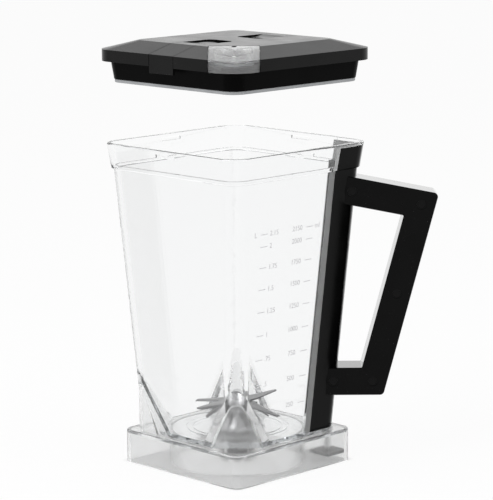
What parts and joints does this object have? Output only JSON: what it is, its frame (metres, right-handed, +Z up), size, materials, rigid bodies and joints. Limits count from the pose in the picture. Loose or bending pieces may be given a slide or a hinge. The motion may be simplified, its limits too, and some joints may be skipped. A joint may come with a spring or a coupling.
{
  "type": "blender jar",
  "caption": "Square clear blender jar with a black corner handle, blade unit in the floor and a latching lid shown lifted off.",
  "frame": {"origin": "middle of the flat underside of the skirt, on the blade axis", "axes": "+Z up along the blade axis; the walls face X and Y; the handle is on the +X +Y corner and the lid's pouring cap on the +X -Y corner"},
  "size_m": [0.1955, 0.1955, 0.3306],
  "materials": {
    "clear_plastic": "clear moulded plastic, polished",
    "black_plastic": "black moulded plastic, satin",
    "steel": "stainless steel, brushed",
    "dark_screws": "blackened steel",
    "grey_rubber": "grey silicone"
  },
  "bodies": {
    "jar": {"jar_body": "clear_plastic", "handle_post": "black_plastic", "handle_half_front": "black_plastic", "handle_half_back": "black_plastic", "handle_screws": "dark_screws", "foot_plate": "black_plastic", "foot_screw": "steel", "bearing_housing": "steel", "floor_gasket": "grey_rubber", "clamp_nut": "black_plastic", "lower_bearing": "steel", "upper_bearing": "steel", "bearing_spacer": "steel", "bearing_circlip": "steel", "shaft_seal": "grey_rubber"},
    "rotor": {"blade_shaft": "steel", "blade_washer": "steel", "blade_lower": "steel", "blade_middle": "steel", "blade_upper": "steel", "blade_cap_nut": "steel", "drive_socket": "black_plastic"},
    "lid": {"lid_cover": "black_plastic", "lid_plug": "black_plastic", "lid_gasket": "grey_rubber", "latch_pins": "steel", "latch_spring_front": "steel", "latch_spring_back": "steel", "spout_pin": "steel", "spout_seal": "grey_rubber"},
    "latch_front": {"latch_front": "black_plastic"},
    "latch_back": {"latch_back": "black_plastic"},
    "spout_cap": {"spout_cap": "clear_plastic"}
  },
  "joints": [
    {"name": "lid_lift", "type": "slide", "parent": "jar", "child": "lid", "axis": [0, 0, 1], "range_m": [-0.0627, 0]},
    {"name": "latch_front_press", "type": "hinge", "parent": "lid", "child": "latch_front", "pos_m": [0, -0.066, 0.3232], "axis": [-1, 0, 0], "range_deg": [0, 9], "stiffness_Nm_per_rad": 0.15, "deforming": ["latch_spring_front"]},
    {"name": "latch_back_press", "type": "hinge", "parent": "lid", "child": "latch_back", "pos_m": [0, 0.066, 0.3232], "axis": [1, 0, 0], "range_deg": [0, 9], "stiffness_Nm_per_rad": 0.15, "deforming": ["latch_spring_back"]},
    {"name": "spout_cap_swing", "type": "hinge", "parent": "lid", "child": "spout_cap", "pos_m": [0.04101, -0.04101, 0.3268], "axis": [-0.7071, -0.7071, 0], "range_deg": [0, 105]},
    {"name": "blade_spin", "type": "hinge", "parent": "jar", "child": "rotor", "pos_m": [0, 0, 0.042], "axis": [0, 0, 1], "continuous": true}
  ]
}
